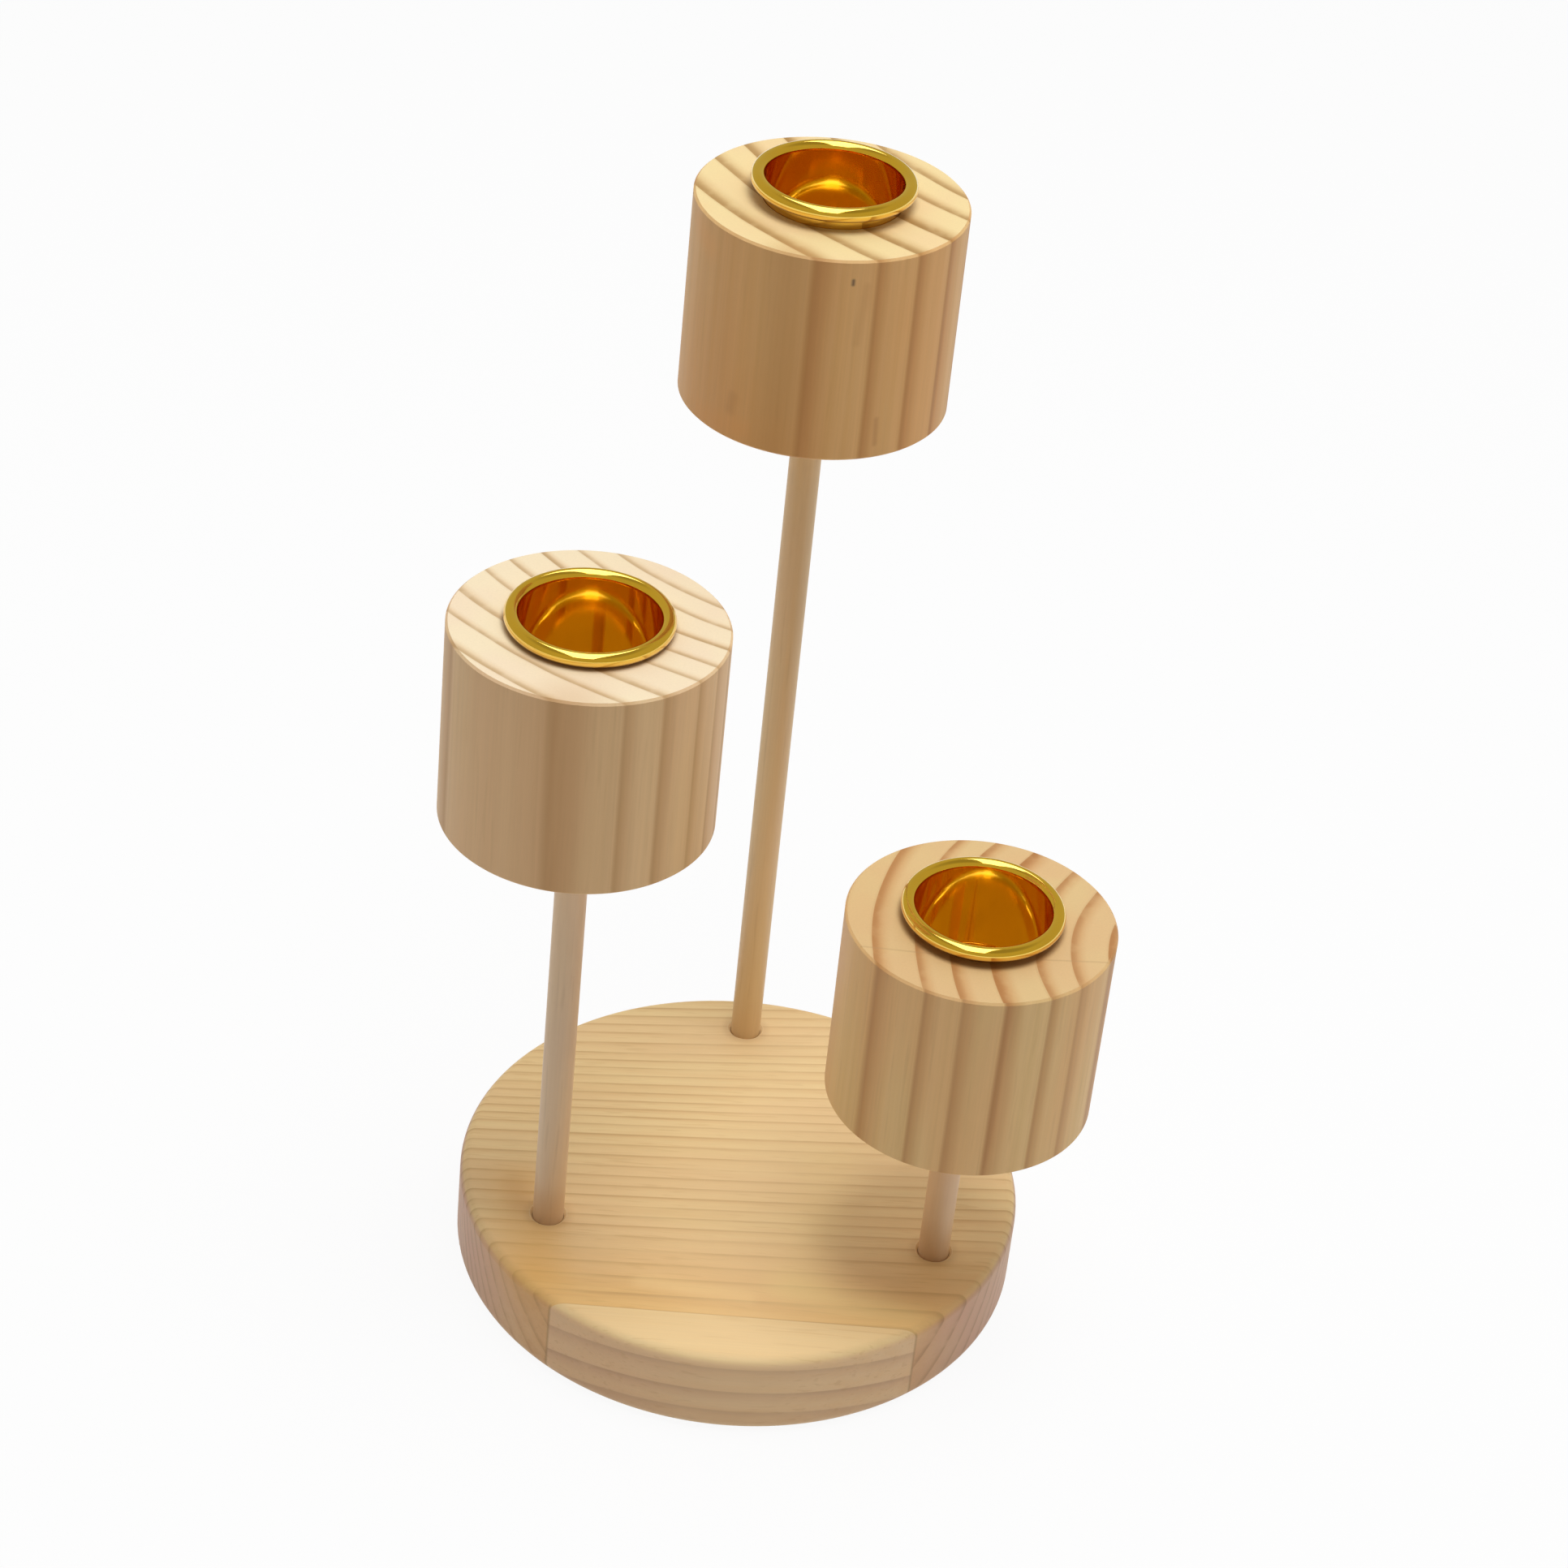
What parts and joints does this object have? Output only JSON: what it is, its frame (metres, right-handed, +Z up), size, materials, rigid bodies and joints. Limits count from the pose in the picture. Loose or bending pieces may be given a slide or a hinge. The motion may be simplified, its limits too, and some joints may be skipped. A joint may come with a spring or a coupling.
{
  "type": "candelabra",
  "caption": "Wooden candelabra: round base, thin dowel arms of stepped heights, turned blocks with brass candle cups.",
  "frame": {"origin": "centre of the round base's underside, on the surface it stands on", "axes": "+Z up through the base; -Y is the front, where the base's narrow glued strip is and the lower arms stand"},
  "size_m": [0.1248, 0.1248, 0.2126],
  "materials": {
    "base_wood": "sanded pale softwood, honey tone, unvarnished",
    "strip_wood": "sanded pale softwood, lighter lamella",
    "dowel_wood": "smooth pale hardwood dowel",
    "block_wood": "turned pale softwood with visible growth rings on the end grain",
    "cup_brass": "polished yellow brass"
  },
  "bodies": {
    "root": {"base_board": "base_wood", "base_front_strip": "strip_wood", "dowel_tall": "dowel_wood", "dowel_middle": "dowel_wood", "dowel_low": "dowel_wood", "block_tall": "block_wood", "block_middle": "block_wood", "block_low": "block_wood", "cup_tall": "cup_brass", "cup_middle": "cup_brass", "cup_low": "cup_brass"}
  },
  "joints": []
}
